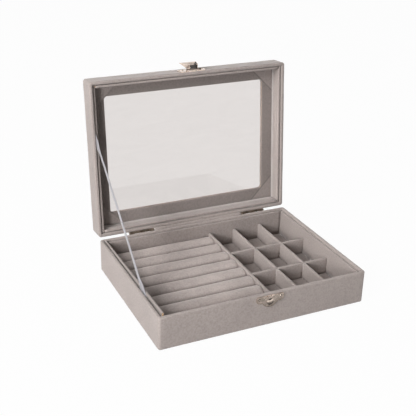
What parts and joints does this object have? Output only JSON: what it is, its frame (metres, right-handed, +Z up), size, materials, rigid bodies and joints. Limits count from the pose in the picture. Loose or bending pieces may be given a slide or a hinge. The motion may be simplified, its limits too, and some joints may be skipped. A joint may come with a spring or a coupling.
{
  "type": "jewelry case",
  "caption": "Velvet-covered jewelry case with a glass-windowed hinged lid, a stay ribbon, a front clasp, ring rolls and a grid of cells for small jewelry.",
  "frame": {"origin": "middle of the base's underside, on the surface that the case stands on", "axes": "+X to the right of someone in front of the case, +Y to the back with the hinges, +Z up; stored with the lid open"},
  "size_m": [0.2, 0.1871, 0.188],
  "materials": {
    "velvet": "short-pile velvet, warm grey",
    "padded_velvet": "velvet over soft foam",
    "velvet_card": "card covered with velvet",
    "fibreboard": "bare fibreboard",
    "felt": "pressed felt",
    "satin_ribbon": "satin weave, light grey",
    "clear_glass": "clear float glass",
    "clasp_metal": "pale gold plating, polished",
    "hinge_brass": "dull brass"
  },
  "bodies": {
    "base": {"back_liner": "fibreboard", "base_back_board": "fibreboard", "base_cover": "velvet", "base_front_board": "fibreboard", "base_left_board": "fibreboard", "base_right_board": "fibreboard", "bottom_board": "fibreboard", "catch_nails": "clasp_metal", "catch_plate": "clasp_metal", "cross_divider_1": "velvet_card", "cross_divider_2": "velvet_card", "front_liner": "fibreboard", "hinge_base_nails": "hinge_brass", "hinge_cloth": "velvet", "left_hinge_base_leaf": "hinge_brass", "left_hinge_pin": "hinge_brass", "left_liner": "fibreboard", "liner_velvet": "velvet", "long_divider_1": "velvet_card", "long_divider_2": "velvet_card", "main_divider": "velvet_card", "right_hinge_base_leaf": "hinge_brass", "right_hinge_pin": "hinge_brass", "right_liner": "fibreboard", "ring_roll_1": "padded_velvet", "ring_roll_2": "padded_velvet", "ring_roll_3": "padded_velvet", "ring_roll_4": "padded_velvet", "ring_roll_5": "padded_velvet", "ring_roll_6": "padded_velvet", "ring_roll_7": "padded_velvet", "ring_roll_8": "padded_velvet", "stay_ribbon": "satin_ribbon", "tray_floor": "velvet_card", "underside_felt": "felt"},
    "lid": {"hinge_lid_nails": "hinge_brass", "left_hinge_lid_leaf": "hinge_brass", "lid_back_board": "fibreboard", "lid_back_liner": "fibreboard", "lid_cover": "velvet", "lid_front_board": "fibreboard", "lid_front_liner": "fibreboard", "lid_left_board": "fibreboard", "lid_left_liner": "fibreboard", "lid_liner_velvet": "velvet", "lid_right_board": "fibreboard", "lid_right_liner": "fibreboard", "right_hinge_lid_leaf": "hinge_brass", "window_frame": "fibreboard", "glass_pane": "clear_glass", "window_lining": "velvet_card", "corner_patches": "velvet", "latch_plate": "clasp_metal", "latch_nails": "clasp_metal", "latch_pin": "clasp_metal"},
    "flap": {"latch_flap": "clasp_metal"}
  },
  "joints": [
    {"name": "lid_hinge", "type": "hinge", "parent": "base", "child": "lid", "pos_m": [0, 0.07555, 0.03165], "axis": [1, 0, 0], "range_deg": [0, 95.5], "deforming": ["stay_ribbon", "hinge_cloth"]},
    {"name": "flap_hinge", "type": "hinge", "parent": "lid", "child": "flap", "pos_m": [0, 0.09127, 0.18289], "axis": [1, 0, 0], "range_deg": [0, 92]}
  ]
}
